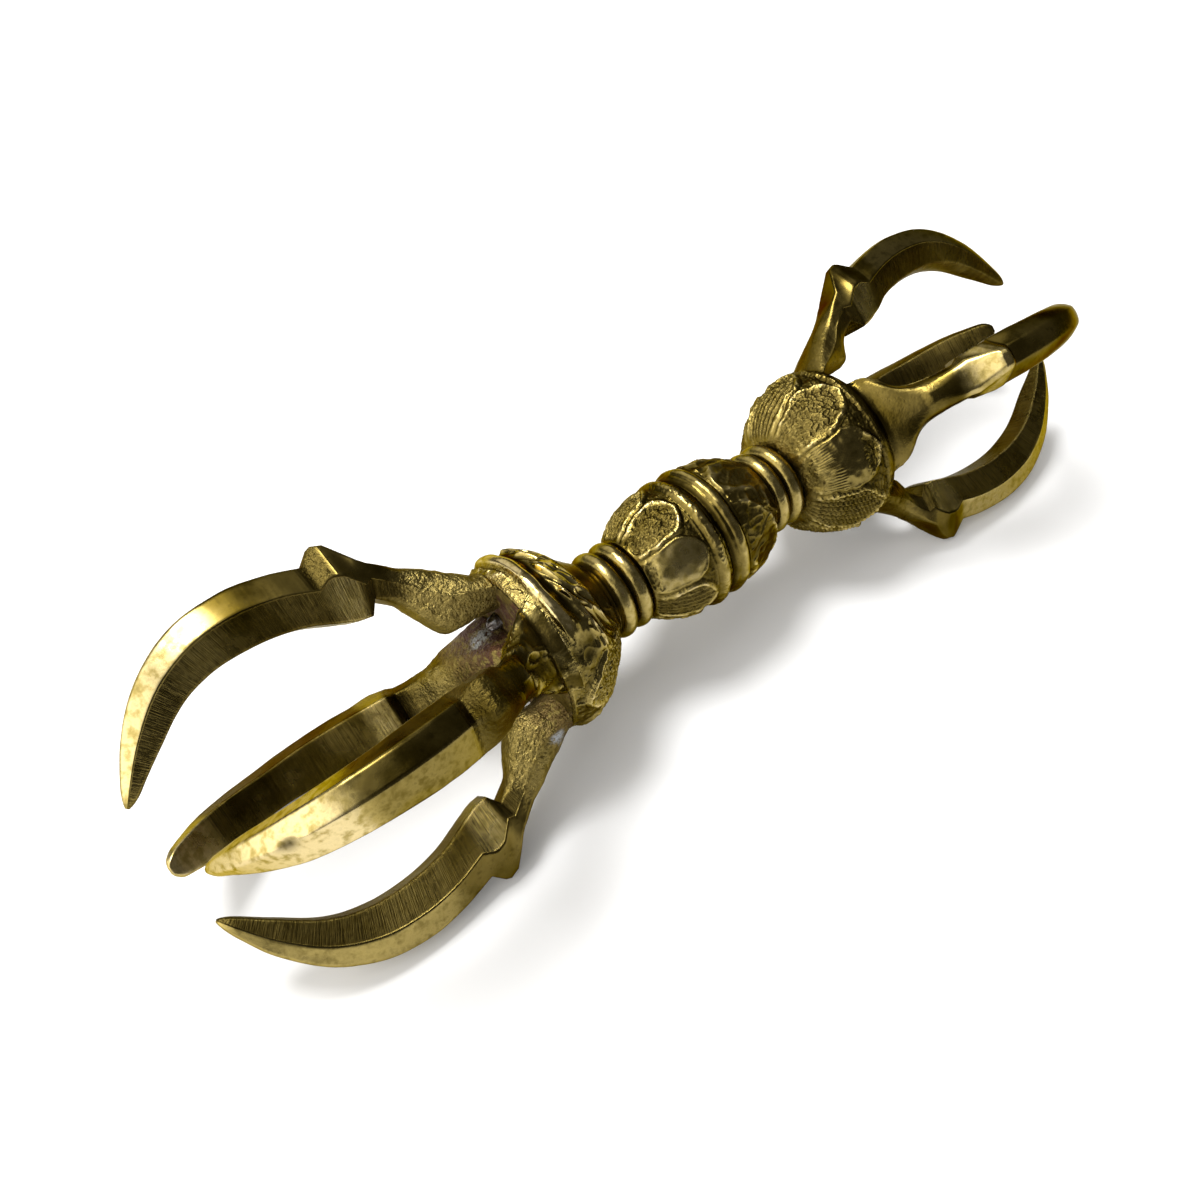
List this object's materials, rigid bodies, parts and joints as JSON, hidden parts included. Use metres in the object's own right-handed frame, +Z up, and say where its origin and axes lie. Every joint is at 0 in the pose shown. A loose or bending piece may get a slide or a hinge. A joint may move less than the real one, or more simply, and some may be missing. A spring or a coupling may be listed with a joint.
{
  "type": "dorje vajra",
  "caption": "Cast brass dorje with a lotus hub, ringed collars, lotus heads and open barbed claws at both ends, lying on its lower claws.",
  "frame": {"origin": "on the table under the middle of the part, with the hub's centre above it to within a millimetre", "axes": "+X along the dorje from its near end to its far end, +Z up from the table it lies on, +Y to the back"},
  "size_m": [0.1836, 0.0431, 0.0441],
  "materials": {
    "hub_brass": "worn cast brass, dark in the recesses",
    "head_brass": "worn cast brass with carved petals",
    "collar_brass": "polished brass",
    "claw_brass": "filed and polished aged brass",
    "braze": "rough braze stained by flux",
    "solder": "dull grey solder"
  },
  "bodies": {
    "root": {"hub": "hub_brass", "near_collar": "collar_brass", "far_collar": "collar_brass", "near_head": "head_brass", "far_head": "head_brass", "tie_rod": "collar_brass", "near_braze": "braze", "far_braze": "braze", "near_solder": "solder", "far_solder": "solder", "near_upper_back_claw": "claw_brass", "near_upper_front_claw": "claw_brass", "near_lower_back_claw": "claw_brass", "near_lower_front_claw": "claw_brass", "far_upper_back_claw": "claw_brass", "far_upper_front_claw": "claw_brass", "far_lower_back_claw": "claw_brass", "far_lower_front_claw": "claw_brass"}
  },
  "joints": []
}
